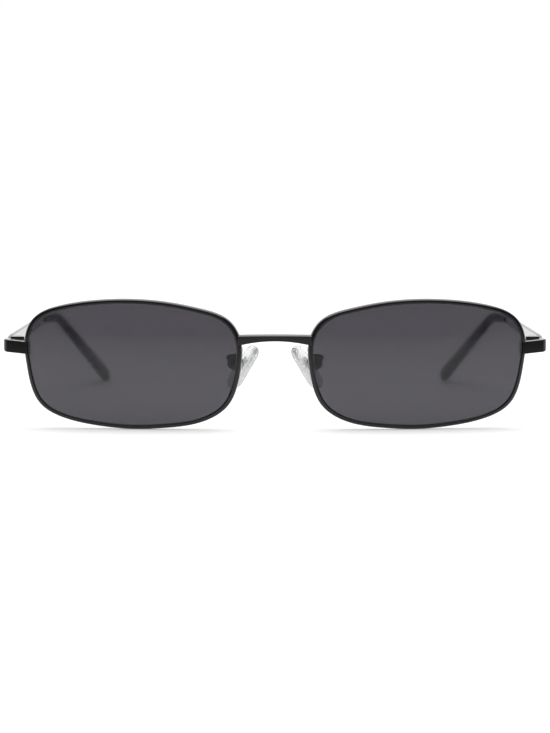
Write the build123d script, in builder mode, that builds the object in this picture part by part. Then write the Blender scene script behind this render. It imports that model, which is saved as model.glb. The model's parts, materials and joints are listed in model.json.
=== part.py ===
from build123d import *
import os
from math import atan, cos, radians, sin, sqrt, tan

os.makedirs("parts", exist_ok=True)

# Narrow rectangular metal sunglasses, standing open on a table on their eyewires and ear tips.
# +Z is up, the lenses face -Y and the temples run back along +Y. X = 0 is the middle plane.
# Left and right are the wearer's. Each side piece is drawn for the left, +X, and mirrored.

# Lens and eyewire
lens_curve = 130.0            # radius of both faces of the lens
lens_thickness = 1.8
eye_half_width = 27.6         # outside of the eyewire
eye_half_height = 16.44
eye_centre_x = 35.8           # from the middle of the glasses to the middle of a lens
wrap_angle = radians(6.0)     # each lens turns back at its temple side
lean_angle = radians(5.0)     # the top of the front leans forward
wire_width = 1.15             # across the eyewire at its sides, seen from the front
upright_share = 0.84          # it is that much narrower at its top and bottom
wire_depth = 2.1              # along the view
wire_round = 0.3              # rounding of the eyewire's outer edges
groove_depth = 0.45
groove_width = 0.8
lens_play = 0.03              # between the lens and its eyewire
blank_behind = 8.0            # how far the column that shapes the lens runs past its middle
blank_ahead = 3.0
eye_step = 18                 # degrees between the points of the eye shape
# Reach of the eye shape in each direction, from the temple side upwards, as shares of its ellipse
eye_shares = (
    0.981, 1.046, 1.132, 1.099, 1.028, 0.998, 1.007, 1.054, 1.102, 1.041,
    0.989, 1.005, 1.076, 1.092, 1.027, 0.998, 1.005, 1.056, 1.066, 0.998,
)

# Bridge
bridge_half_span = 10.4       # into the eyewires, where it is trimmed
bridge_top = 24.0             # height over the table, in the middle
bridge_middle_height = 1.83
bridge_end_height = 2.8
bridge_end_drop = 0.3         # its top is that much lower at the ends
bridge_depth = 1.9
bridge_end_ahead = 1.0        # front face before the lens centres, at the ends
bridge_bulge = 1.1            # and that much more in the middle
bridge_flare_in = 2.0         # the underside flares over this length at each end
bridge_flare_height = 0.45
bridge_round = 0.3

# Hinge, drawn about its pin. Locally x runs out, y runs back along the temple and z runs up.
hinge_x = 65.2
hinge_behind = 13.5           # behind the lens centres
hinge_z = 20.7
temple_toe_in = radians(3.5)  # the temples run towards each other at the back
knuckle_radius = 1.5
knuckle_height = 1.2
knuckle_gap = 0.1             # between knuckles, and between a knuckle and the strip beside it
hinge_bore_play = 0.03
base_thickness = 0.6
base_inward = 1.9             # the front leaf's base reaches inwards past the pin
leaf_thickness = 0.9
leaf_length = 4.8
leaf_height = 2.4
hinge_pin_radius = 0.7
hinge_head_radius = 1.05
hinge_head_height = 0.5
slot_width = 0.25
slot_depth = 0.2

# Endpiece, a flat strip bent back at the corner
strip_thickness = 1.1
strip_height = 3.1
strip_root_inside = 1.75      # its root reaches that far in past the edge of the eyewire
strip_sweep = 1.65            # its root stands that much further forward than its corner
strip_droop = 0.45            # and that much lower
corner_ahead = 7.1            # the corner is that much before the pin
corner_radius = 1.7
strip_top_round = 0.3         # along its upper outer edge
strip_low_round = 0.7         # along its lower outer edge
butt_ahead = 0.4              # the endpiece and the temple meet that much before the pin
butt_gap = 0.1

# Rim lock, a block in the corner of the endpiece, split across with the eyewire
lock_split_z = -0.2           # from the middle of the hinge
lock_gap = 0.1
lock_screw_in = 1.2           # place of its screw, from the hinge pin
lock_screw_ahead = 4.5
lock_screw_radius = 0.6
lock_head_radius = 0.95
lock_head_height = 0.45
lock_screw_play = 0.03
lock_screw_inset = 0.35       # the screw ends that much below the lock's top

# Temple
bar_length = 60.0             # from the hinge pin to the ear sock
bar_shoulder_behind = 3.0     # from the endpiece's height the bar grows to its full height there
bar_shoulder_height = 3.5
bar_shoulder_rise = 0.35      # its middle is that much higher than the hinge's there
bar_taper_behind = 36.0       # from there the bar narrows more quickly
bar_taper_height = 3.0
bar_taper_rise = 1.45
bar_end_height = 1.7
bar_end_rise = 2.0
bar_round = 0.22
along_bar = 0.9               # least cosine between the bar and an edge that is rounded
ear_bend_behind = 84.0        # from the hinge pin to the corner of the ear bend
ear_bend_rise = 1.2
ear_bend_inward = 0.75
ear_bend_radius = 22.0
tip_behind = 43.0             # from the corner of the ear bend to the end of the tip
tip_inward = 8.25
tip_drop = 20.21
core_radius = 0.5
core_short = 6.0              # the core wire stops before the end of the tip
core_play = 0.04
sock_start_width = 1.9
sock_start_thickness = 1.8
sock_end_width = 4.6
sock_end_thickness = 2.8
sock_end_round = 1.1

# Nose pad, in its own frame: z points at the nose, y runs up along the pad and x runs forward
pad_x = 8.1
pad_behind = 8.5
pad_z = 15.0
pad_frontal_angle = radians(32.0)
pad_splay_angle = radians(22.0)
pad_thickness = 2.2
pad_top_radius = 2.6
pad_bottom_radius = 3.0
pad_top_reach = 3.6           # from the pad's middle to the centre of its top
pad_bottom_reach = 3.0
pad_round = 0.8
plate_thickness = 0.4
plate_width = 2.2
plate_length = 5.6
plate_setback = 0.25          # from the pad's middle plane to the plate's middle
pad_pin_back = 2.5            # from the pad's middle plane to its screw
stud_width = 1.8
stud_height = 1.2
stud_past_pin = 0.5
box_width = 3.6
box_height = 3.6
box_wall = 0.6
box_round = 1.4
box_back_round = 0.9
box_mouth_back = 1.5
box_floor_past_pin = 0.9
pad_screw_radius = 0.4
pad_screw_play = 0.03
pad_head_radius = 0.7
pad_head_height = 0.35
pad_screw_end = 0.2           # the screw stands out that far past the box
arm_radius = 0.38
arm_root_x = 9.3              # from the middle plane, inside the eyewire
arm_root_behind = 0.7         # behind the lens centres
arm_root_z = 20.9
arm_shoulder_x = 8.4
arm_shoulder_behind = 2.7
arm_shoulder_z = 20.3
arm_elbow_x = 8.5
arm_elbow_behind = 4.4
arm_elbow_z = 18.6
arm_turn_back = 6.2           # the arm's last corner, from the pad's middle plane
arm_shoulder_radius = 0.8
arm_elbow_radius = 1.2
arm_turn_radius = 1.0

overrun = 1.0                 # how far cutting tools run past what they cut

# Places that follow from the sizes
eye_sag = lens_curve - sqrt(lens_curve**2 - eye_half_height**2)
round_lift = wire_round * (cos(lean_angle) + sin(lean_angle) - 1)
eye_z = eye_half_height * cos(lean_angle) + (wire_depth / 2 - eye_sag) * sin(lean_angle) - round_lift
toe_x, toe_y = sin(temple_toe_in), cos(temple_toe_in)
back_reach = hinge_behind + (ear_bend_behind + tip_behind) * toe_y
front_y = -(back_reach - bridge_end_ahead - bridge_bulge) / 2

eye = Plane(
    origin=(eye_centre_x, front_y, eye_z),
    x_dir=(cos(wrap_angle), sin(wrap_angle), 0),
    z_dir=(sin(wrap_angle) * cos(lean_angle), -cos(wrap_angle) * cos(lean_angle), -sin(lean_angle)),
)

hinge = Plane(
    origin=(hinge_x, front_y + hinge_behind, hinge_z),
    x_dir=(toe_y, toe_x, 0),
    z_dir=(0, 0, 1),
)
strip_in = knuckle_radius + knuckle_gap
strip_out = strip_in + strip_thickness
strip_middle = (strip_in + strip_out) / 2
eye_edge_x = eye_centre_x + eye_half_width * cos(wrap_angle)
strip_width = hinge_x + strip_out - eye_edge_x + strip_root_inside

pad_normal = Vector(
    -cos(pad_frontal_angle) * cos(pad_splay_angle),
    sin(pad_splay_angle),
    -sin(pad_frontal_angle) * cos(pad_splay_angle),
)
pad_forward = Vector(
    -cos(pad_frontal_angle) * sin(pad_splay_angle),
    -cos(pad_splay_angle),
    -sin(pad_frontal_angle) * sin(pad_splay_angle),
)
pad = Plane(origin=(pad_x, front_y + pad_behind, pad_z), x_dir=pad_forward, z_dir=pad_normal)


def write_pair(piece, name):
    """Write a piece for the wearer's left side and its mirror image for the right side."""
    piece.part.label = "left_" + name
    export_step(piece.part, f"parts/left_{name}.step")
    with BuildPart() as twin:
        mirror(piece.part, about=Plane.YZ)
    twin.part.label = "right_" + name
    export_step(twin.part, f"parts/right_{name}.step")


def fill_eye(inset, mode=Mode.ADD):
    """Fill the column through the eye shape, drawn in by inset, square to the eye's own plane."""
    half_width = eye_half_width - inset
    half_height = eye_half_height - inset * upright_share
    points = []
    for step, share in enumerate(eye_shares):
        turn = radians(step * eye_step)
        points.append((half_width * share * cos(turn), half_height * share * sin(turn)))
    with BuildSketch(eye.offset(-blank_behind)) as outline:
        with BuildLine():
            Spline(*points, periodic=True)
        make_face()
    extrude(outline.sketch, amount=blank_behind + blank_ahead, mode=mode)


def keep_shell(depth):
    """Keep only what lies within half a depth of the lens's middle surface, front and back."""
    with Locations(eye.offset(depth / 2 - lens_curve).origin):
        Sphere(lens_curve, mode=Mode.INTERSECT)
    with Locations(eye.offset(-depth / 2 - lens_curve).origin):
        Sphere(lens_curve, mode=Mode.SUBTRACT)


# Column through the outside of an eyewire, which ends the bridge
with BuildPart() as eye_column:
    fill_eye(0)

# Whole space inside an eyewire, which trims what is soldered beside and behind it
with BuildPart() as eye_space:
    add(eye_column.part)
    keep_shell(wire_depth)

with BuildPart() as eye_groove:
    fill_eye(wire_width - groove_depth)
    keep_shell(groove_width)

with BuildPart() as rim:
    add(eye_space.part)
    fillet(rim.edges().group_by(SortBy.LENGTH)[-1], radius=wire_round)
    fill_eye(wire_width, mode=Mode.SUBTRACT)
    add(eye_groove.part, mode=Mode.SUBTRACT)
    with BuildSketch(hinge.offset(lock_split_z)):
        with Locations((-strip_width / 2, -corner_ahead)):
            Rectangle(strip_width, corner_ahead)
    extrude(amount=lock_gap / 2, both=True, mode=Mode.SUBTRACT)
write_pair(rim, "rim")

with BuildPart() as lens_tongue:
    fill_eye(wire_width - groove_depth + lens_play)
    keep_shell(groove_width - 2 * lens_play)

with BuildPart() as lens:
    fill_eye(wire_width + lens_play)
    keep_shell(lens_thickness)
    add(lens_tongue.part)
write_pair(lens, "lens")

# Bridge: its front view, cut by its curved plan and trimmed to the eyewires
with BuildPart() as bridge:
    with BuildSketch(Plane.XZ.offset(-front_y)):
        with BuildLine():
            end_top = bridge_top - bridge_end_drop
            end_low = end_top - bridge_end_height
            flare_x = bridge_half_span - bridge_flare_in
            flare_z = end_low + bridge_flare_height
            middle_low = bridge_top - bridge_middle_height
            ThreePointArc((-bridge_half_span, end_top), (0, bridge_top), (bridge_half_span, end_top))
            Line((bridge_half_span, end_top), (bridge_half_span, end_low))
            Line((bridge_half_span, end_low), (flare_x, flare_z))
            ThreePointArc((flare_x, flare_z), (0, middle_low), (-flare_x, flare_z))
            Line((-flare_x, flare_z), (-bridge_half_span, end_low))
            Line((-bridge_half_span, end_low), (-bridge_half_span, end_top))
        make_face()
    extrude(amount=bridge_half_span, both=True)
    with BuildSketch(Plane.XY):
        with BuildLine():
            end_front = front_y - bridge_end_ahead
            end_back = end_front + bridge_depth
            ThreePointArc(
                (-bridge_half_span, end_front),
                (0, end_front - bridge_bulge),
                (bridge_half_span, end_front),
            )
            Line((bridge_half_span, end_front), (bridge_half_span, end_back))
            ThreePointArc(
                (bridge_half_span, end_back),
                (0, end_back - bridge_bulge),
                (-bridge_half_span, end_back),
            )
            Line((-bridge_half_span, end_back), (-bridge_half_span, end_front))
        make_face()
    extrude(amount=bridge_top + overrun, mode=Mode.INTERSECT)
    long_edges = bridge.edges().group_by(SortBy.LENGTH)[-1]
    fillet(long_edges, radius=bridge_round)
    add(eye_column.part, mode=Mode.SUBTRACT)
    mirror(eye_column.part, about=Plane.YZ, mode=Mode.SUBTRACT)
bridge.part.label = "bridge"
export_step(bridge.part, "parts/bridge.step")


def keep_strip_height():
    """Keep the height of the endpiece, which droops towards its root."""
    root_x = strip_out - strip_width
    top = strip_height / 2
    with BuildSketch(Plane(origin=hinge.origin, x_dir=hinge.x_dir, z_dir=-hinge.y_dir)) as front:
        with BuildLine():
            Polyline(
                (strip_out, top),
                (strip_in, top),
                (root_x - overrun, top - strip_droop),
                (root_x - overrun, -top - strip_droop),
                (strip_in, -top),
                (strip_out, -top),
                close=True,
            )
        make_face()
        outer_corners = front.vertices().sort_by(Axis.X)[-2:].sort_by(Axis.Z)
        fillet(outer_corners[0], radius=strip_low_round)
        fillet(outer_corners[1], radius=strip_top_round)
    extrude(front.sketch, amount=corner_ahead + strip_sweep + overrun, mode=Mode.INTERSECT)


strip_root = (strip_out - strip_width, -corner_ahead - strip_sweep)
strip_corner = (strip_out, -corner_ahead)
strip_tail = (strip_out, -butt_ahead - butt_gap / 2)

with BuildPart() as endpiece:
    with BuildSketch(hinge):
        with BuildLine():
            FilletPolyline(strip_root, strip_corner, strip_tail, radius=corner_radius)
            offset(amount=strip_thickness, side=Side.LEFT, closed=True)
        make_face()
    extrude(amount=strip_height, both=True)
    keep_strip_height()
    add(eye_space.part, mode=Mode.SUBTRACT)
write_pair(endpiece, "endpiece")

# Rim lock: the corner between the eyewire, the endpiece and the hinge
base_front = -knuckle_radius - knuckle_gap - base_thickness
sweep_angle = atan(strip_sweep / strip_width)
lock_slant = strip_thickness / cos(sweep_angle)
with BuildPart() as lock_blank:
    with BuildSketch(hinge):
        with BuildLine():
            Polyline(
                (strip_root[0], strip_root[1] + lock_slant),
                (strip_in, strip_corner[1] - strip_thickness * tan(sweep_angle) + lock_slant),
                (strip_in, base_front),
                (strip_root[0], base_front),
                close=True,
            )
        make_face()
    extrude(amount=strip_height, both=True)
    keep_strip_height()
    add(endpiece.part, mode=Mode.SUBTRACT)
    add(eye_space.part, mode=Mode.SUBTRACT)

lock_screw_at = (-lock_screw_in, -lock_screw_ahead)
lock_low = -strip_height / 2 - strip_droop * (strip_in + lock_screw_in) / strip_width
lock_screw_top = strip_height / 2 - strip_droop - lock_screw_inset

with BuildPart() as lock_upper:
    add(lock_blank.part)
    split(bisect_by=hinge.offset(lock_split_z + lock_gap / 2), keep=Keep.TOP)
    with BuildSketch(hinge.offset(lock_split_z)):
        with Locations(lock_screw_at):
            Circle(lock_screw_radius + lock_screw_play)
    extrude(amount=lock_screw_top - lock_split_z + lock_screw_play, mode=Mode.SUBTRACT)
write_pair(lock_upper, "rim_lock_upper")

with BuildPart() as lock_lower:
    add(lock_blank.part)
    split(bisect_by=hinge.offset(lock_split_z - lock_gap / 2), keep=Keep.BOTTOM)
    with BuildSketch(hinge.offset(lock_split_z)):
        with Locations(lock_screw_at):
            Circle(lock_screw_radius + lock_screw_play)
    extrude(amount=-strip_height, mode=Mode.SUBTRACT)
    with BuildSketch(hinge.offset(lock_low + lock_head_height)):
        with Locations(lock_screw_at):
            Circle(lock_head_radius + lock_screw_play)
    extrude(amount=-strip_height, mode=Mode.SUBTRACT)
write_pair(lock_lower, "rim_lock_lower")

with BuildPart() as lock_screw:
    with BuildSketch(hinge.offset(lock_low)):
        with Locations(lock_screw_at):
            Circle(lock_head_radius)
    extrude(amount=lock_head_height - lock_screw_play)
    with BuildSketch(hinge.offset(lock_low)):
        with Locations(lock_screw_at):
            Circle(lock_screw_radius)
    extrude(amount=lock_screw_top - lock_low)
    with BuildSketch(hinge.offset(lock_low)):
        with Locations(lock_screw_at):
            Rectangle(slot_width, 2 * lock_head_radius + overrun)
    extrude(amount=slot_depth, mode=Mode.SUBTRACT)
write_pair(lock_screw, "rim_lock_screw")

# Hinge: two knuckles on the front leaf's base, one knuckle between them on the temple's leaf
middle_half = knuckle_height / 2
hinge_half = middle_half + knuckle_gap + knuckle_height
with BuildPart() as front_leaf:
    with BuildSketch(hinge):
        with Locations(((strip_in - base_inward) / 2, base_front + base_thickness / 2)):
            Rectangle(strip_in + base_inward, base_thickness)
    extrude(amount=hinge_half, both=True)
    with BuildSketch(hinge.offset(-hinge_half), hinge.offset(middle_half + knuckle_gap)):
        Circle(knuckle_radius)
        with Locations((0, base_front / 2)):
            Rectangle(2 * knuckle_radius, -base_front)
    extrude(amount=knuckle_height)
    with BuildSketch(hinge.offset(-hinge_half)):
        Circle(hinge_pin_radius + hinge_bore_play)
    extrude(amount=2 * hinge_half, mode=Mode.SUBTRACT)
    with BuildSketch(hinge.offset(hinge_half - hinge_head_height)):
        Circle(hinge_head_radius + hinge_bore_play)
    extrude(amount=hinge_head_height, mode=Mode.SUBTRACT)
write_pair(front_leaf, "hinge_front_leaf")

leaf_start = knuckle_radius + 2 * knuckle_gap
with BuildPart() as temple_leaf:
    with BuildSketch(hinge):
        with Locations((strip_in - leaf_thickness / 2, leaf_start + leaf_length / 2)):
            Rectangle(leaf_thickness, leaf_length)
    extrude(amount=leaf_height / 2, both=True)
    with BuildSketch(hinge):
        Circle(knuckle_radius)
        with Locations((strip_in - leaf_thickness / 2, leaf_start / 2)):
            Rectangle(leaf_thickness, leaf_start)
    extrude(amount=middle_half, both=True)
    with BuildSketch(hinge):
        Circle(hinge_pin_radius + hinge_bore_play)
    extrude(amount=hinge_half, both=True, mode=Mode.SUBTRACT)
write_pair(temple_leaf, "hinge_temple_leaf")

with BuildPart() as hinge_screw:
    with BuildSketch(hinge.offset(-hinge_half)):
        Circle(hinge_pin_radius)
    extrude(amount=2 * hinge_half - slot_depth)
    with BuildSketch(hinge.offset(hinge_half)):
        Circle(hinge_head_radius)
    extrude(amount=-hinge_head_height + hinge_bore_play)
    with BuildSketch(hinge.offset(hinge_half)):
        Rectangle(2 * hinge_head_radius + overrun, slot_width)
    extrude(amount=-slot_depth, mode=Mode.SUBTRACT)
write_pair(hinge_screw, "hinge_screw")

# Temple: a flat bar that goes on as a round core wire inside the ear sock
bend_x = strip_middle - ear_bend_inward
bend_corner = hinge.from_local_coords(Vector(bend_x, ear_bend_behind, ear_bend_rise))
tip_end = hinge.from_local_coords(
    Vector(bend_x - tip_inward, ear_bend_behind + tip_behind, ear_bend_rise - tip_drop)
)
sock_start = hinge.from_local_coords(Vector(strip_middle, bar_length, bar_end_rise))
sock_face = Plane(origin=sock_start, z_dir=bend_corner - sock_start)
core_end = tip_end + (bend_corner - tip_end).normalized() * core_short
bend_normal = (bend_corner - sock_start).cross(tip_end - bend_corner).normalized()

with BuildLine() as sock_path:
    FilletPolyline(sock_start, bend_corner, tip_end, radius=ear_bend_radius)
with BuildLine() as core_path:
    FilletPolyline(sock_start, bend_corner, core_end, radius=ear_bend_radius)

with BuildPart() as temple:
    with BuildSketch(Plane(origin=hinge.origin, x_dir=hinge.y_dir, z_dir=hinge.x_dir).offset(strip_in)):
        with BuildLine():
            bar_start = -butt_ahead + butt_gap / 2
            bar_end = bar_length + overrun
            Polyline(
                (bar_start, -strip_height / 2),
                (bar_shoulder_behind, bar_shoulder_rise - bar_shoulder_height / 2),
                (bar_taper_behind, bar_taper_rise - bar_taper_height / 2),
                (bar_end, bar_end_rise - bar_end_height / 2),
                (bar_end, bar_end_rise + bar_end_height / 2),
                (bar_taper_behind, bar_taper_rise + bar_taper_height / 2),
                (bar_shoulder_behind, bar_shoulder_rise + bar_shoulder_height / 2),
                (bar_start, strip_height / 2),
                close=True,
            )
        make_face()
    extrude(amount=strip_thickness)
    split(bisect_by=sock_face, keep=Keep.BOTTOM)
    bar_edges = temple.edges().filter_by(lambda edge: abs((edge % 0.5).dot(hinge.y_dir)) > along_bar)
    fillet(bar_edges, radius=bar_round)
    core_wire = core_path.wire()
    with BuildSketch(sock_face):
        Circle(core_radius)
    sweep(path=core_wire)
write_pair(temple, "temple")


def sock_section(path, share):
    """Draw the ear sock's section at a share of its length: flat sides, round edges."""
    width = sock_start_width + (sock_end_width - sock_start_width) * share
    thickness = sock_start_thickness + (sock_end_thickness - sock_start_thickness) * share
    with BuildSketch(Plane(origin=path @ share, x_dir=bend_normal, z_dir=path % share)) as section:
        SlotOverall(width, thickness, rotation=90)
    return section.sketch


with BuildPart() as core_bore:
    with BuildSketch(sock_face):
        Circle(core_radius + core_play)
    sweep(path=core_wire)

sock_shares = (0, 0.25, 0.5, 0.75, 1)
with BuildPart() as temple_tip:
    sock_wire = sock_path.wire()
    sweep([sock_section(sock_wire, share) for share in sock_shares], path=sock_wire, multisection=True)
    fillet(temple_tip.faces().sort_by(Axis.Y)[-1].edges(), radius=sock_end_round)
    add(core_bore.part, mode=Mode.SUBTRACT)
write_pair(temple_tip, "temple_tip")

# Nose pad: clear body, metal insert, box, screw and arm
pin_plane = Plane(origin=pad.offset(-pad_pin_back).origin, x_dir=pad.y_dir, z_dir=pad.x_dir)

with BuildPart() as pad_insert:
    with BuildSketch(pad.offset(-plate_setback)):
        SlotOverall(plate_length, plate_width, rotation=90)
    extrude(amount=plate_thickness / 2, both=True)
    with BuildSketch(pad.offset(-plate_setback)):
        Rectangle(stud_width, stud_height)
    extrude(amount=-(pad_pin_back + stud_past_pin - plate_setback))
    with BuildSketch(pin_plane):
        Circle(pad_screw_radius + pad_screw_play)
    extrude(amount=box_width, both=True, mode=Mode.SUBTRACT)
write_pair(pad_insert, "pad_insert")

with BuildPart() as nose_pad:
    with BuildSketch(pad):
        with BuildLine():
            CenterArc((0, pad_top_reach), pad_top_radius, 0, 360)
            CenterArc((0, -pad_bottom_reach), pad_bottom_radius, 0, 360)
        make_hull()
    extrude(amount=pad_thickness / 2, both=True)
    fillet(nose_pad.faces().filter_by(pad).edges(), radius=pad_round)
    add(pad_insert.part, mode=Mode.SUBTRACT)
write_pair(nose_pad, "nose_pad")

box_floor = pad_pin_back + box_floor_past_pin
with BuildPart() as pad_box:
    with BuildSketch(pad.offset(-box_mouth_back)):
        RectangleRounded(box_width, box_height, box_round)
    extrude(amount=-(box_floor + box_wall - box_mouth_back))
    back_face = pad_box.faces().sort_by(Axis(pad.origin, pad.z_dir))[0]
    fillet(back_face.edges(), radius=box_back_round)
    with BuildSketch(pad.offset(-box_mouth_back)):
        Rectangle(box_width - 2 * box_wall, box_height - 2 * box_wall)
    extrude(amount=-(box_floor - box_mouth_back), mode=Mode.SUBTRACT)
    with BuildSketch(pin_plane):
        Circle(pad_screw_radius + pad_screw_play)
    extrude(amount=box_width, both=True, mode=Mode.SUBTRACT)
write_pair(pad_box, "pad_box")

with BuildPart() as pad_screw:
    with BuildSketch(pin_plane.offset(-box_width / 2 - pad_screw_end)):
        Circle(pad_screw_radius)
    extrude(amount=box_width + pad_screw_end + pad_head_height)
    with BuildSketch(pin_plane.offset(box_width / 2)):
        Circle(pad_head_radius)
    extrude(amount=pad_head_height)
    with BuildSketch(pin_plane.offset(box_width / 2 + pad_head_height)):
        Rectangle(slot_width, 2 * pad_head_radius + overrun)
    extrude(amount=-slot_depth, mode=Mode.SUBTRACT)
write_pair(pad_screw, "pad_screw")

# The arm leaves the back of the eyewire, goes down beside it, swings out behind the lens and
# comes back to the box along the pad's own direction.
arm_route = (
    Vector(arm_root_x, front_y + arm_root_behind, arm_root_z),
    Vector(arm_shoulder_x, front_y + arm_shoulder_behind, arm_shoulder_z),
    Vector(arm_elbow_x, front_y + arm_elbow_behind, arm_elbow_z),
    pad.offset(-arm_turn_back).origin,
    pad.offset(-box_floor - box_wall).origin,
)
with BuildLine() as arm_path:
    FilletPolyline(*arm_route, radius=(arm_shoulder_radius, arm_elbow_radius, arm_turn_radius))
with BuildPart() as pad_arm:
    arm_wire = arm_path.wire()
    with BuildSketch(Plane(origin=arm_wire @ 0, z_dir=arm_wire % 0)):
        Circle(arm_radius)
    sweep(path=arm_wire)
    add(eye_space.part, mode=Mode.SUBTRACT)
write_pair(pad_arm, "pad_arm")
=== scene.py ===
import json
from math import cos, pi, radians, sin, sqrt

import bmesh
import bpy
import numpy as np
from mathutils import Matrix, Vector


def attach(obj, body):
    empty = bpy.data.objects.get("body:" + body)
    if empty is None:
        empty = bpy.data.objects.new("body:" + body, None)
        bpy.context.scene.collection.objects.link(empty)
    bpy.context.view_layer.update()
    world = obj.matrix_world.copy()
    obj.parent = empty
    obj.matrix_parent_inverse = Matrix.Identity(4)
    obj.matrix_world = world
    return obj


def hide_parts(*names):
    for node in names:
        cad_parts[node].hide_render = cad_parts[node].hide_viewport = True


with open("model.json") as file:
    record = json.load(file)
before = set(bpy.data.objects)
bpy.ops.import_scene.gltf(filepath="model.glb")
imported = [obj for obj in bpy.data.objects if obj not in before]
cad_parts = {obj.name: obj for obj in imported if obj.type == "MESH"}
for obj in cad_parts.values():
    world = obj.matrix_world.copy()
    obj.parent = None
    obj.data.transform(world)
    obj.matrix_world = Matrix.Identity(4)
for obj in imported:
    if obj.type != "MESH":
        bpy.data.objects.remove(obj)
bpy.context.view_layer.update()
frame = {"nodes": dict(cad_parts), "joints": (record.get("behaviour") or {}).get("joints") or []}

# Narrow rectangular metal sunglasses, dressed for the camera. Lengths are in metres.
# Left and right are the wearer's. Each side piece is modelled for the left, +X, and mirrored.
mm = 0.001
wearer_sides = {"left": 1, "right": -1}

# Eye shape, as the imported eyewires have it
lens_curve = 130.0 * mm
lens_thickness = 1.8 * mm
eye_half_width = 27.6 * mm
eye_half_height = 16.44 * mm
eye_centre_x = 35.8 * mm
wrap_angle = radians(6.0)
lean_angle = radians(5.0)
wire_width = 1.15 * mm        # at the sides
upright_share = 0.84          # and that much of it at the top and bottom
wire_depth = 2.1 * mm
wire_round = 0.3 * mm
wire_front_round = 0.65 * mm  # of its outer front edge, which is domed by polishing
wire_front_steps = 6
wire_inner_round = 0.34 * mm
groove_depth = 0.45 * mm
groove_width = 0.8 * mm
lens_play = 0.03 * mm
lens_edge_round = 0.12 * mm
lens_face_shares = [0.02, 0.1, 0.2, 0.3, 0.4, 0.5, 0.6, 0.7, 0.8, 0.9]      # rings over its faces
eye_step = 18
eye_shares = (
    0.981, 1.046, 1.132, 1.099, 1.028, 0.998, 1.007, 1.054, 1.102, 1.041,
    0.989, 1.005, 1.076, 1.092, 1.027, 0.998, 1.005, 1.056, 1.066, 0.998,
)
eye_samples = 12              # points along the outline between two named ones

# Hinge frame and temples, as packed
temple_toe_in = radians(3.5)
strip_middle = 2.15 * mm
bar_length = 60.0 * mm
bar_end_rise = 2.0 * mm
ear_bend_behind = 84.0 * mm
ear_bend_rise = 1.2 * mm
ear_bend_inward = 0.75 * mm
ear_bend_radius = 22.0 * mm
tip_behind = 43.0 * mm
tip_inward = 8.25 * mm
tip_drop = 20.21 * mm
sock_start_width = 1.9 * mm
sock_start_thickness = 1.8 * mm
sock_end_width = 4.6 * mm
sock_end_thickness = 2.8 * mm
sock_end_round = 1.1 * mm
sock_run_steps, sock_bend_steps, sock_end_steps, sock_side_steps = 12, 20, 6, 8

left_pin = Vector(frame["joints"][0]["pos_m"])
hinge_behind = 13.5 * mm


# Outlines

def closed_curve(points, samples):
    """Pass a smooth closed curve through the points, with even curvature, and sample it."""
    knots = np.array(points, float)
    ahead = np.roll(knots, -1, axis=0)
    span = np.linalg.norm(ahead - knots, axis=1)
    before = np.roll(span, 1)
    count = len(knots)
    system = np.zeros((count, count))
    for i in range(count):
        system[i, i - 1] = span[i]
        system[i, i] = 2 * (before[i] + span[i])
        system[i, (i + 1) % count] = before[i]
    slope_in = (knots - np.roll(knots, 1, axis=0)) / before[:, None]
    slope_out = (ahead - knots) / span[:, None]
    pull = 3 * (span[:, None] * slope_in + before[:, None] * slope_out)
    slope = np.linalg.solve(system, pull)
    curve = []
    for i in range(count):
        j = (i + 1) % count
        for step in range(samples):
            t = step / samples
            curve.append(
                (2 * t**3 - 3 * t**2 + 1) * knots[i] + (3 * t**2 - 2 * t**3) * knots[j]
                + span[i] * ((t**3 - 2 * t**2 + t) * slope[i] + (t**3 - t**2) * slope[j])
            )
    return curve


def eye_outline(inset):
    """The eye shape, drawn in by inset, in its own plane."""
    points = []
    for step, share in enumerate(eye_shares):
        turn = radians(step * eye_step)
        points.append((
            (eye_half_width - inset) * share * cos(turn),
            (eye_half_height - inset * upright_share) * share * sin(turn),
        ))
    return closed_curve(points, eye_samples)


eye_normal = Vector((sin(wrap_angle) * cos(lean_angle), -cos(wrap_angle) * cos(lean_angle), -sin(lean_angle)))
eye_across = Vector((cos(wrap_angle), sin(wrap_angle), 0))
eye_up = eye_normal.cross(eye_across)
eye_sag = lens_curve - sqrt(lens_curve**2 - eye_half_height**2)
round_lift = wire_round * (cos(lean_angle) + sin(lean_angle) - 1)
eye_z = eye_half_height * cos(lean_angle) + (wire_depth / 2 - eye_sag) * sin(lean_angle) - round_lift
front_y = left_pin.y - hinge_behind
eye_middle = Vector((eye_centre_x, front_y, eye_z))


def eye_ring(inset, height, share=1.0):
    """A ring of the eye shape that lies height in front of the lens's curved middle surface."""
    ring = []
    for across, up in eye_outline(inset):
        across, up = across * share, up * share
        sag = lens_curve - sqrt(lens_curve**2 - across**2 - up**2)
        ring.append(eye_middle + eye_across * across + eye_up * up + eye_normal * (height - sag))
    return ring


def rounded_corner(corner, into, radius, steps=4):
    """Profile points of a quarter round: corner is the sharp corner, into points away from it both ways."""
    centre = (corner[0] + into[0] * radius, corner[1] + into[1] * radius)
    points = []
    for step in range(steps + 1):
        turn = pi / 2 * step / steps
        points.append((centre[0] - into[0] * radius * cos(turn), centre[1] - into[1] * radius * sin(turn)))
    return points


def bar_profile(depth, height, top_round, low_round, back_round, top_fall=0.0, inset=0.0):
    """Section of a bar: points (in from its front, up from its middle), its top falling towards the front."""
    near, far, half = inset, depth - inset, height / 2 - inset
    points = rounded_corner((near, half), (1, -1), top_round)
    points += rounded_corner((far, half), (-1, -1), back_round)[::-1]
    points += rounded_corner((far, -half), (-1, 1), back_round)
    points += rounded_corner((near, -half), (1, 1), low_round)[::-1]
    return [(x, y - top_fall * (1 - x / depth) if y > 0 else y) for x, y in points]


# Mesh helpers

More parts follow.
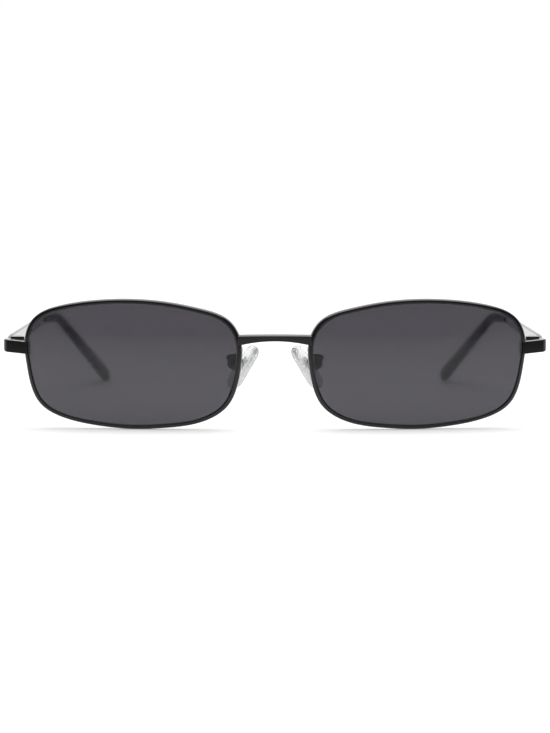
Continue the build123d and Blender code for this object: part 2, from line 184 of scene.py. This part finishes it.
crisp_angle = radians(34)     # faces that meet at more than this keep a crisp edge
eased_angle = radians(40)     # edges sharper than this are rounded off
flat_angle = radians(1.0)     # triangles that meet at less than this lie in one flat face
merge_distance = 0.002 * mm


def skin(bm, rings, closed=False):
    """Run a surface through rings of as many points each. Ends are capped, or joined if closed."""
    number = bm.verts.layers.int.new("number")
    verts = bmesh.ops.create_circle(bm, cap_ends=False, segments=len(rings[0]), radius=mm)["verts"]
    for i, vert in enumerate(verts):
        vert[number] = i
        vert.co = rings[0][i]
    first = edges = list({edge for vert in verts for edge in vert.link_edges})
    for ring in rings[1:] + (rings[:1] if closed else []):
        grown = bmesh.ops.extrude_edge_only(bm, edges=edges)["geom"]
        verts = {part for part in grown if isinstance(part, bmesh.types.BMVert)}
        edges = [part for part in grown if isinstance(part, bmesh.types.BMEdge) and verts.issuperset(part.verts)]
        for vert in verts:
            vert.co = ring[vert[number]]
    if closed:
        bmesh.ops.remove_doubles(bm, verts=bm.verts, dist=merge_distance / 2)
    else:
        for loop in (first, edges):
            bmesh.ops.contextual_create(bm, geom=loop)


def show_edges(bm):
    """Shade every face smooth, with crisp edges where faces meet sharply."""
    for face in bm.faces:
        face.smooth = True
    for edge in bm.edges:
        edge.smooth = len(edge.link_faces) == 2 and edge.calc_face_angle() < crisp_angle


def keep_piece(bm, name, body, node, material):
    """Turn a bmesh into a piece that stands for a CAD node and moves with its body."""
    bmesh.ops.recalc_face_normals(bm, faces=bm.faces)
    show_edges(bm)
    mesh = bpy.data.meshes.new(name)
    bm.to_mesh(mesh)
    mesh.materials.append(material)
    piece = bpy.data.objects.new(name, mesh)
    bpy.context.scene.collection.objects.link(piece)
    piece.modifiers.new("flat_faces", "WEIGHTED_NORMAL").keep_sharp = True
    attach(piece, body)
    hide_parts(node)


def both_sides(build, name, body, node, material):
    """Model a left piece and its mirror image."""
    for side, sign in wearer_sides.items():
        bm = bmesh.new()
        build(bm)
        bmesh.ops.scale(bm, verts=bm.verts, vec=(sign, 1, 1))
        keep_piece(bm, f"{side}_{name}", body.format(side), f"{side}_{node}", material)
        bm.free()


def take_node(bm, node):
    """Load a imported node's shape, with its loose triangles merged and its flat faces whole."""
    bm.from_mesh(frame["nodes"][node].data)
    bmesh.ops.remove_doubles(bm, verts=bm.verts, dist=merge_distance)
    bmesh.ops.dissolve_limit(
        bm, angle_limit=flat_angle, use_dissolve_boundaries=False,
        verts=bm.verts, edges=bm.edges, delimit={"NORMAL"},
    )


def soften(bm, radius):
    """Round off every sharp edge."""
    sharp = [edge for edge in bm.edges if len(edge.link_faces) == 2 and edge.calc_face_angle() > eased_angle]
    bmesh.ops.bevel(
        bm, geom=sharp, offset=radius, offset_type="OFFSET", segments=2, profile=0.5,
        affect="EDGES", clamp_overlap=True, material=-1,
    )


# Shader groups

def new_group(name, inputs, outputs):
    """An empty node group with the named sockets."""
    group = bpy.data.node_groups.new(name, "ShaderNodeTree")
    for label, kind, value in inputs:
        socket = group.interface.new_socket(label, in_out="INPUT", socket_type=kind)
        if value is not None:
            socket.default_value = value
    for label, kind in outputs:
        group.interface.new_socket(label, in_out="OUTPUT", socket_type=kind)
    return group


def node_in(tree, kind, **values):
    """Add a node and set its properties and its inputs by name."""
    node = tree.nodes.new(kind)
    for key, value in values.items():
        if hasattr(node, key):
            setattr(node, key, value)
        else:
            node.inputs[key.replace("_", " ")].default_value = value
    return node


def make_polish_haze():
    """Roughness that drifts a little over a polished surface, as from handling."""
    group = new_group(
        "polish_haze",
        [("Vector", "NodeSocketVector", None), ("Patch Scale", "NodeSocketFloat", 220.0),
         ("Least", "NodeSocketFloat", 0.08), ("Most", "NodeSocketFloat", 0.2)],
        [("Roughness", "NodeSocketFloat")],
    )
    start = group.nodes.new("NodeGroupInput")
    end = group.nodes.new("NodeGroupOutput")
    patches = node_in(group, "ShaderNodeTexNoise", Detail=4.0, Roughness=0.6)
    level = node_in(group, "ShaderNodeMapRange", From_Min=0.3, From_Max=0.7)
    group.links.new(start.outputs["Vector"], patches.inputs["Vector"])
    group.links.new(start.outputs["Patch Scale"], patches.inputs["Scale"])
    group.links.new(patches.outputs["Fac"], level.inputs["Value"])
    group.links.new(start.outputs["Least"], level.inputs["To Min"])
    group.links.new(start.outputs["Most"], level.inputs["To Max"])
    group.links.new(level.outputs["Result"], end.inputs["Roughness"])
    return group


def make_fine_grain():
    """Height of a fine grain, such as lacquer's orange peel or moulded plastic's texture."""
    group = new_group(
        "fine_grain",
        [("Vector", "NodeSocketVector", None), ("Grain Scale", "NodeSocketFloat", 3000.0),
         ("Wave Scale", "NodeSocketFloat", 500.0), ("Wave Share", "NodeSocketFloat", 0.5)],
        [("Height", "NodeSocketFloat")],
    )
    start = group.nodes.new("NodeGroupInput")
    end = group.nodes.new("NodeGroupOutput")
    grain = node_in(group, "ShaderNodeTexNoise", Detail=2.0)
    wave = node_in(group, "ShaderNodeTexNoise", Detail=1.0)
    blend = group.nodes.new("ShaderNodeMix")
    group.links.new(start.outputs["Vector"], grain.inputs["Vector"])
    group.links.new(start.outputs["Grain Scale"], grain.inputs["Scale"])
    group.links.new(start.outputs["Vector"], wave.inputs["Vector"])
    group.links.new(start.outputs["Wave Scale"], wave.inputs["Scale"])
    group.links.new(start.outputs["Wave Share"], blend.inputs["Factor"])
    group.links.new(grain.outputs["Fac"], blend.inputs["A"])
    group.links.new(wave.outputs["Fac"], blend.inputs["B"])
    group.links.new(blend.outputs["Result"], end.inputs["Height"])
    return group


polish_haze = make_polish_haze()
fine_grain = make_fine_grain()


# Materials

def new_material(name, **values):
    """A material with a Principled shader, set by socket name, and its object coordinates."""
    material = bpy.data.materials.new(name)
    material.use_nodes = True
    tree = material.node_tree
    shader = tree.nodes["Principled BSDF"]
    for key, value in values.items():
        shader.inputs[key.replace("_", " ")].default_value = value
    place = tree.nodes.new("ShaderNodeTexCoord")
    return material, tree, shader, place


def add_haze(tree, shader, place, scale, least, most):
    """Let the roughness drift between two levels."""
    haze = tree.nodes.new("ShaderNodeGroup")
    haze.node_tree = polish_haze
    haze.inputs["Patch Scale"].default_value = scale
    haze.inputs["Least"].default_value = least
    haze.inputs["Most"].default_value = most
    tree.links.new(place.outputs["Object"], haze.inputs["Vector"])
    tree.links.new(haze.outputs["Roughness"], shader.inputs["Roughness"])


def add_grain(tree, shader, place, grain, wave, share, strength, depth):
    """Give the surface a fine relief."""
    relief = tree.nodes.new("ShaderNodeGroup")
    relief.node_tree = fine_grain
    relief.inputs["Grain Scale"].default_value = grain
    relief.inputs["Wave Scale"].default_value = wave
    relief.inputs["Wave Share"].default_value = share
    bump = tree.nodes.new("ShaderNodeBump")
    bump.inputs["Strength"].default_value = strength
    bump.inputs["Distance"].default_value = depth
    tree.links.new(place.outputs["Object"], relief.inputs["Vector"])
    tree.links.new(relief.outputs["Height"], bump.inputs["Height"])
    tree.links.new(bump.outputs["Normal"], shader.inputs["Normal"])


def make_black_plate():
    """Polished black plated metal, under a thin clear lacquer."""
    material, tree, shader, place = new_material(
        "black_plate", Base_Color=(0.003, 0.003, 0.0034, 1), Metallic=0.0, IOR=1.45,
        Coat_Weight=0.4, Coat_Roughness=0.06,
    )
    add_haze(tree, shader, place, 260.0, 0.07, 0.16)
    add_grain(tree, shader, place, 2400.0, 420.0, 0.6, 0.10, 0.01 * mm)
    return material


def make_grey_lens():
    """Tinted lens, neutral grey."""
    material, tree, shader, place = new_material(
        "grey_lens", Base_Color=(0.0635, 0.0605, 0.0695, 1), Transmission_Weight=1.0, IOR=1.5,
    )
    add_haze(tree, shader, place, 60.0, 0.04, 0.08)
    return material


def make_sock_plastic():
    """Smooth black plastic of the ear tips."""
    material, tree, shader, place = new_material(
        "sock_plastic", Base_Color=(0.003, 0.003, 0.0036, 1), IOR=1.49,
    )
    add_haze(tree, shader, place, 180.0, 0.22, 0.34)
    add_grain(tree, shader, place, 5200.0, 700.0, 0.35, 0.15, 0.01 * mm)
    return material


def make_clear_pad():
    """Clear soft plastic of the nose pads."""
    material, tree, shader, place = new_material(
        "clear_pad", Base_Color=(0.92, 0.925, 0.93, 1), Transmission_Weight=0.8, IOR=1.33,
    )
    add_haze(tree, shader, place, 500.0, 0.16, 0.3)
    return material


def make_turned_steel(name, shade, least_haze, most_haze):
    """Small turned or stamped steel parts."""
    material, tree, shader, place = new_material(
        name, Base_Color=(shade, shade, shade * 1.02, 1), Metallic=1.0,
    )
    add_haze(tree, shader, place, 900.0, least_haze, most_haze)
    add_grain(tree, shader, place, 7000.0, 1500.0, 0.3, 0.12, 0.01 * mm)
    return material


black_plate = make_black_plate()
grey_lens = make_grey_lens()
sock_plastic = make_sock_plastic()
clear_pad = make_clear_pad()
screw_steel = make_turned_steel("screw_steel", 0.42, 0.18, 0.36)
insert_steel = make_turned_steel("insert_steel", 0.86, 0.45, 0.6)


# Eyewires and lenses

def build_eyewire(bm):
    """One eyewire: a ring with rounded outer edges and a groove inside for the lens."""
    front, back = wire_depth / 2, -wire_depth / 2
    lip, floor = groove_width / 2, wire_width - groove_depth
    profile = rounded_corner((0, back), (1, 1), wire_round)[::-1]
    profile += rounded_corner((0, front), (1, -1), wire_front_round, wire_front_steps)
    profile += rounded_corner((wire_width, front), (-1, -1), wire_inner_round)[::-1]
    profile += [(wire_width, lip), (floor, lip), (floor, -lip), (wire_width, -lip)]
    profile += rounded_corner((wire_width, back), (-1, 1), wire_inner_round)
    skin(bm, [eye_ring(inset, height) for inset, height in profile], closed=True)


def build_lens(bm):
    """One lens: two polished faces, an eased edge and the tongue that sits in the groove."""
    edge = wire_width + lens_play
    tongue = wire_width - groove_depth + lens_play
    half, lip = lens_thickness / 2, groove_width / 2 - lens_play
    rings = [eye_ring(edge, half, share) for share in lens_face_shares]
    rings += [eye_ring(inset, height) for inset, height in (
        (edge + lens_edge_round, half), (edge, half - lens_edge_round), (edge, lip), (tongue, lip),
        (tongue, -lip), (edge, -lip), (edge, lens_edge_round - half), (edge + lens_edge_round, -half),
    )]
    rings += [eye_ring(edge, -half, share) for share in lens_face_shares[::-1]]
    skin(bm, rings)


both_sides(build_eyewire, "eyewire", "front", "rim", black_plate)
both_sides(build_lens, "tinted_lens", "front", "lens", grey_lens)


# Ear socks

def hinge_point(out, back, up):
    """A point of the left hinge's own directions, in the frame."""
    return left_pin + Vector((
        out * cos(temple_toe_in) - back * sin(temple_toe_in),
        out * sin(temple_toe_in) + back * cos(temple_toe_in),
        up,
    ))


def bent_path(start, corner, end, radius, run_steps, bend_steps):
    """Points along two straight runs joined by an arc of the radius."""
    run_in = (start - corner).normalized()
    run_out = (end - corner).normalized()
    half_turn = run_in.angle(run_out) / 2
    setback = radius / np.tan(half_turn)
    centre = corner + (run_in + run_out).normalized() * (radius / sin(half_turn))
    bend_start, bend_end = corner + run_in * setback, corner + run_out * setback
    axis = (bend_start - centre).cross(bend_end - centre).normalized()
    sweep = pi - 2 * half_turn
    points = [start.lerp(bend_start, step / run_steps) for step in range(run_steps)]
    for step in range(bend_steps):
        turned = Matrix.Rotation(sweep * step / bend_steps, 3, axis) @ (bend_start - centre)
        points.append(centre + turned)
    points += [bend_end.lerp(end, step / run_steps) for step in range(run_steps + 1)]
    return points


def sock_ring(at, along, side, width, thickness):
    """One section of the ear sock: flat sides and round edges."""
    across = side.cross(along).normalized()
    ring = []
    half_flat = (width - thickness) / 2
    for end, start_turn in ((1, -pi / 2), (-1, pi / 2)):
        for step in range(sock_side_steps + 1):
            turn = start_turn + pi * step / sock_side_steps
            ring.append(
                at + across * (end * half_flat + thickness / 2 * cos(turn)) + side * (thickness / 2 * sin(turn))
            )
    return ring


def build_sock(bm):
    """The ear sock: slim where it takes the core wire, broad and rounded at its end."""
    bend_out = strip_middle - ear_bend_inward
    start = hinge_point(strip_middle, bar_length, bar_end_rise)
    corner = hinge_point(bend_out, ear_bend_behind, ear_bend_rise)
    end = hinge_point(bend_out - tip_inward, ear_bend_behind + tip_behind, ear_bend_rise - tip_drop)
    path = bent_path(start, corner, end, ear_bend_radius, sock_run_steps, sock_bend_steps)
    side = (corner - start).cross(end - corner).normalized()
    lengths = [0.0]
    for near, far in zip(path, path[1:]):
        lengths.append(lengths[-1] + (far - near).length)
    rings = []
    for i, at in enumerate(path):
        along = (path[min(i + 1, len(path) - 1)] - path[max(i - 1, 0)]).normalized()
        share = lengths[i] / lengths[-1]
        width = sock_start_width + (sock_end_width - sock_start_width) * share
        thickness = sock_start_thickness + (sock_end_thickness - sock_start_thickness) * share
        left = lengths[-1] - lengths[i]
        if left > sock_end_round:
            rings.append(sock_ring(at, along, along.cross(side).cross(along).normalized(), width, thickness))
    for step in range(sock_end_steps):
        turn = pi / 2 * step / sock_end_steps
        at = end - along * sock_end_round * (1 - sin(turn))
        drawn_in = 2 * sock_end_round * (1 - cos(turn))
        rings.append(sock_ring(at, along, side, sock_end_width - drawn_in, sock_end_thickness - drawn_in))
    skin(bm, rings)


both_sides(build_sock, "ear_sock", "{}_temple_arm", "temple_tip", sock_plastic)


# Bridge and endpieces, whose ends lie over the fronts of the eyewires

bridge_half_span = 9.42 * mm
bridge_low = 22.3 * mm        # height of its lower edge over the table, in the middle
bridge_top = 24.05 * mm
bridge_depth = 2.1 * mm
bridge_middle_ahead = 2.3 * mm
bridge_end_ahead = 1.85 * mm
bridge_low_bow = 1.22 * mm    # its lower edge is that much lower at its ends
bridge_top_bow = 0.12 * mm
bridge_top_fall = 0.2 * mm    # towards its front
bridge_round = 0.2 * mm
bridge_steps = 16
bridge_end_length = 0.3 * mm  # its ends are drawn in over this length, in three rings
bridge_end_rings = ((0, 0.3 * mm), (0.3, 0.12 * mm), (0.65, 0.03 * mm))


def build_bridge(bm):
    """The bridge: a bowed bar with a crowned top, whose underside runs down into the eyewires."""
    back = Vector((0, cos(lean_angle), sin(lean_angle)))
    up = Vector((0, -sin(lean_angle), cos(lean_angle)))
    spans = [(-bridge_half_span + share * bridge_end_length, inset) for share, inset in bridge_end_rings]
    spans += [(bridge_half_span * step / bridge_steps, 0.0) for step in range(1 - bridge_steps, bridge_steps)]
    spans += [(-x, inset) for x, inset in spans[2::-1]]
    rings = []
    for x, inset in spans:
        bow = (x / bridge_half_span) ** 2
        low = bridge_low - bridge_low_bow * bow
        top = bridge_top - bridge_top_bow * bow - bridge_depth * sin(lean_angle)
        ahead = bridge_middle_ahead + (bridge_end_ahead - bridge_middle_ahead) * bow
        middle = Vector((x, front_y - ahead, (low + top) / 2))
        profile = bar_profile(
            bridge_depth, (top - low) / cos(lean_angle), bridge_round, bridge_round, bridge_round,
            bridge_top_fall, inset,
        )
        rings.append([middle + back * depth + up * height for depth, height in profile])
    skin(bm, rings)


strip_root = (-3.5 * mm, -9.55 * mm)           # out and back from the hinge pin, on the strip's outer face
strip_corner = (2.7 * mm, -7.4 * mm)
strip_tail = (2.7 * mm, -0.45 * mm)
strip_corner_radius = 1.7 * mm
strip_thickness = 1.1 * mm
strip_root_thickness = 1.9 * mm                # where it reaches the eyewire and its closing block
strip_corner_thickness = 1.4 * mm              # before its bend
strip_chamfer = (0.22 * mm, 0.5 * mm)          # at its root: along it, and back
strip_root_ease = (0.02 * mm, 0.06 * mm)       # where its face starts, behind the chamfer: back, and along it
strip_tail_ease = 0.04 * mm
strip_height = 3.1 * mm
strip_droop = 0.45 * mm                        # its root stands that much lower
strip_top_round = 0.18 * mm
strip_low_rounds = (0.16 * mm, 0.66 * mm)      # before its bend, and behind it
strip_back_round = 0.1 * mm
strip_run_steps, strip_bend_steps = 6, 10


def build_endpiece(bm):
    """One endpiece: a flat strip from the front of the eyewire round the corner to the hinge."""
    root, corner, tail = (hinge_point(*at, 0) for at in (strip_root, strip_corner, strip_tail))
    path = bent_path(root, corner, tail, strip_corner_radius, strip_run_steps, strip_bend_steps)
    run_in = (corner - root).normalized()
    path[:1] = [root + run_in * at for at in (-strip_chamfer[0], 0, strip_root_ease[1])]
    setbacks = [strip_chamfer[1], strip_root_ease[0]] + [0.0] * (len(path) - 2)
    insets = [0.0] * (len(path) - 1) + [strip_tail_ease]
    rings = []
    for i, at in enumerate(path):
        along = (path[min(i + 1, len(path) - 1)] - path[max(i - 1, 0)]).normalized()
        inward = Vector((-along.y, along.x, 0))
        turned = run_in.angle(along) / (corner - root).angle(tail - corner)
        share = max(0.0, (corner - at).dot(run_in)) / (corner - root).length
        before_bend = strip_corner_thickness + (strip_root_thickness - strip_corner_thickness) * share
        thickness = before_bend + (strip_thickness - before_bend) * turned
        low_round = strip_low_rounds[0] + (strip_low_rounds[1] - strip_low_rounds[0]) * turned
        profile = bar_profile(
            thickness, strip_height, strip_top_round, low_round, strip_back_round, inset=insets[i],
        )
        rings.append([
            at + inward * (depth + setbacks[i]) + Vector((0, 0, height - strip_droop * share))
            for depth, height in profile
        ])
    skin(bm, rings)


bm = bmesh.new()
build_bridge(bm)
keep_piece(bm, "bridge_finished", "front", "bridge", black_plate)
bm.free()
both_sides(build_endpiece, "endpiece_finished", "front", "endpiece", black_plate)


# Small hard parts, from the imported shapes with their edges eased

hard_parts = (
    ("rim_lock_upper", "front", "frame_metal", black_plate, 0.05 * mm),
    ("rim_lock_lower", "front", "frame_metal", black_plate, 0.05 * mm),
    ("rim_lock_screw", "front", "screw_steel", screw_steel, 0.03 * mm),
    ("hinge_front_leaf", "front", "frame_metal", black_plate, 0.05 * mm),
    ("hinge_temple_leaf", "{}_temple_arm", "frame_metal", black_plate, 0.05 * mm),
    ("hinge_screw", "front", "screw_steel", screw_steel, 0.03 * mm),
    ("temple", "{}_temple_arm", "frame_metal", black_plate, 0.04 * mm),
    ("pad_insert", "{}_pad", "pad_insert_metal", insert_steel, 0.04 * mm),
    ("nose_pad", "{}_pad", "pad_clear", clear_pad, 0.0),
    ("pad_box", "front", "frame_metal", black_plate, 0.05 * mm),
    ("pad_screw", "front", "screw_steel", screw_steel, 0.03 * mm),
    ("pad_arm", "front", "frame_metal", black_plate, 0.0),
)


def dress_node(node, name, body, material, ease):
    """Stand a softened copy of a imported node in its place."""
    bm = bmesh.new()
    take_node(bm, node)
    if ease:
        soften(bm, ease)
    keep_piece(bm, name, body, node, material)
    bm.free()


for part, body, slot, material, ease in hard_parts:
    for side in wearer_sides:
        dress_node(f"{side}_{part}", f"{side}_{part}_finished", body.format(side), material, ease)


# Floor, light and camera

floor_size = 6.0
light_level = 0.55            # of the surroundings, as light
back_level = 1.0              # and as polished surfaces mirror them: behind the glasses,
camera_side_level = 0.4       # round the camera,
card_level = 0.06             # and at the dark cards beside it
card_edge = (-0.15, 0.2)      # how far back along Y a direction points where the cards end
camera_side_edge = (-0.8, -0.96)               # and where the camera's surroundings start
floor_paleness = 0.9
glow_near, glow_far = 0.6, 2.5                 # between these distances the floor's glow rises for the camera
floor_near_glow, floor_far_glow = 0.28, 1.0
mirrored_glow = 0.45                           # the most that polished surfaces see of it
mirrored_front, mirrored_back = -0.25, 0.05    # along Y, they see a dim floor before these and a full one behind
mirrored_shades = ((0.0, 0.1), (0.55, 0.34), (1.0, 1.0))
softbox_place = (0, 0.1, 1.2)
softbox_width, softbox_depth = 1.6, 1.2
softbox_power = 12.0
scene = bpy.context.scene


def make_white_stage():
    """Pale floor that shows white to the camera and keeps the object's shadow."""
    bm = bmesh.new()
    bmesh.ops.create_grid(bm, x_segments=1, y_segments=1, size=floor_size)
    mesh = bpy.data.meshes.new("floor")
    bm.to_mesh(mesh)
    bm.free()
    floor = bpy.data.objects.new("floor", mesh)
    scene.collection.objects.link(floor)
    material, tree, shader, place = new_material("pale_floor", Roughness=0.9)
    shader.inputs["Specular IOR Level"].default_value = 0.1
    seen = tree.nodes.new("ShaderNodeLightPath")
    direct = node_in(tree, "ShaderNodeMath", operation="MAXIMUM")
    mirrored = node_in(tree, "ShaderNodeMath", operation="SUBTRACT", use_clamp=True)
    tree.links.new(seen.outputs["Is Camera Ray"], direct.inputs[0])
    tree.links.new(seen.outputs["Is Transmission Ray"], direct.inputs[1])
    tree.links.new(seen.outputs["Is Glossy Ray"], mirrored.inputs[0])
    tree.links.new(seen.outputs["Is Transmission Ray"], mirrored.inputs[1])
    distance = node_in(tree, "ShaderNodeVectorMath", operation="LENGTH")
    glow = node_in(
        tree, "ShaderNodeMapRange", From_Min=glow_near, From_Max=glow_far,
        To_Min=floor_near_glow, To_Max=floor_far_glow,
    )
    part = tree.nodes.new("ShaderNodeSeparateXYZ")
    across = node_in(tree, "ShaderNodeMapRange", From_Min=mirrored_front, From_Max=mirrored_back)
    shades = tree.nodes.new("ShaderNodeValToRGB")
    stops = shades.color_ramp.elements
    for (position, shade), stop in zip(mirrored_shades, (stops[0], stops.new(0.5), stops[1])):
        stop.position = position
        stop.color = (shade, shade, shade, 1)
    paint = node_in(tree, "ShaderNodeMix")
    paint.inputs["A"].default_value = floor_paleness
    pale = node_in(tree, "ShaderNodeMath", operation="MULTIPLY")
    pale.inputs[1].default_value = floor_paleness
    shone = node_in(tree, "ShaderNodeMath", operation="MULTIPLY")
    shone.inputs[1].default_value = mirrored_glow
    strength = node_in(tree, "ShaderNodeMix")
    sent = node_in(tree, "ShaderNodeMath", operation="MULTIPLY")
    tree.links.new(place.outputs["Object"], distance.inputs[0])
    tree.links.new(distance.outputs["Value"], glow.inputs["Value"])
    tree.links.new(place.outputs["Object"], part.inputs["Vector"])
    tree.links.new(part.outputs["Y"], across.inputs["Value"])
    tree.links.new(across.outputs["Result"], shades.inputs["Fac"])
    tree.links.new(shades.outputs["Color"], pale.inputs[0])
    tree.links.new(pale.outputs["Value"], paint.inputs["B"])
    tree.links.new(mirrored.outputs["Value"], paint.inputs["Factor"])
    tree.links.new(paint.outputs["Result"], shader.inputs["Base Color"])
    tree.links.new(shades.outputs["Color"], shone.inputs[0])
    tree.links.new(glow.outputs["Result"], sent.inputs[0])
    tree.links.new(direct.outputs["Value"], sent.inputs[1])
    tree.links.new(mirrored.outputs["Value"], strength.inputs["Factor"])
    tree.links.new(sent.outputs["Value"], strength.inputs["A"])
    tree.links.new(shone.outputs["Value"], strength.inputs["B"])
    shader.inputs["Emission Color"].default_value = (1, 1, 1, 1)
    tree.links.new(strength.outputs["Result"], shader.inputs["Emission Strength"])
    mesh.materials.append(material)


def make_world():
    """Studio surroundings: even light, white where they are seen, with dark cards beside the camera."""
    world = bpy.data.worlds.new("studio")
    scene.world = world
    world.use_nodes = True
    tree = world.node_tree
    light = tree.nodes["Background"]
    light.inputs["Color"].default_value = (1, 1, 1, 1)
    ray = tree.nodes.new("ShaderNodeTexCoord")
    part = tree.nodes.new("ShaderNodeSeparateXYZ")
    tree.links.new(ray.outputs["Generated"], part.inputs["Vector"])
    behind = node_in(
        tree, "ShaderNodeMapRange", From_Min=card_edge[0], From_Max=card_edge[1],
        To_Min=card_level, To_Max=back_level,
    )
    ahead = node_in(
        tree, "ShaderNodeMapRange", From_Min=camera_side_edge[0], From_Max=camera_side_edge[1],
        To_Max=camera_side_level,
    )
    tree.links.new(part.outputs["Y"], behind.inputs["Value"])
    tree.links.new(part.outputs["Y"], ahead.inputs["Value"])
    mirrored = node_in(tree, "ShaderNodeMath", operation="MAXIMUM")
    tree.links.new(behind.outputs["Result"], mirrored.inputs[0])
    tree.links.new(ahead.outputs["Result"], mirrored.inputs[1])
    seen = tree.nodes.new("ShaderNodeLightPath")
    white = node_in(tree, "ShaderNodeMath", operation="MAXIMUM")
    tree.links.new(seen.outputs["Is Camera Ray"], white.inputs[0])
    tree.links.new(seen.outputs["Is Transmission Ray"], white.inputs[1])
    reflected = node_in(tree, "ShaderNodeMix")
    reflected.inputs["A"].default_value = light_level
    tree.links.new(seen.outputs["Is Glossy Ray"], reflected.inputs["Factor"])
    tree.links.new(mirrored.outputs["Value"], reflected.inputs["B"])
    level = node_in(tree, "ShaderNodeMix")
    level.inputs["B"].default_value = 1.0
    tree.links.new(white.outputs["Value"], level.inputs["Factor"])
    tree.links.new(reflected.outputs["Result"], level.inputs["A"])
    tree.links.new(level.outputs["Result"], light.inputs["Strength"])


def add_softbox(name, place, aim, width, height, power):
    """A rectangular lamp that points at a place."""
    lamp = bpy.data.lights.new(name, "AREA")
    lamp.shape = "RECTANGLE"
    lamp.size = width
    lamp.size_y = height
    lamp.energy = power
    holder = bpy.data.objects.new(name, lamp)
    scene.collection.objects.link(holder)
    holder.location = place
    holder.rotation_euler = (Vector(aim) - Vector(place)).to_track_quat("-Z", "Y").to_euler()


make_white_stage()
make_world()
add_softbox("overhead_softbox", softbox_place, (0, 0, 0), softbox_width, softbox_depth, softbox_power)

# The camera stands in front at arm's length, a little above the frame
photo_height = 733
focal_pixels = 2808.0
camera_distance = 0.6975
camera_height = 0.0743
aim_height = 0.01592
film_size = 0.036

camera = bpy.data.cameras.new("camera")
camera.sensor_width = film_size * 1000
camera.lens = focal_pixels / photo_height * film_size * 1000
camera.clip_start = 0.01
camera.clip_end = 20.0
viewer = bpy.data.objects.new("camera", camera)
scene.collection.objects.link(viewer)
viewer.location = (0, front_y - camera_distance, camera_height)
look = Vector((0, front_y, aim_height)) - viewer.location
viewer.rotation_euler = look.to_track_quat("-Z", "Y").to_euler()
scene.camera = viewer
scene.view_settings.view_transform = "Standard"
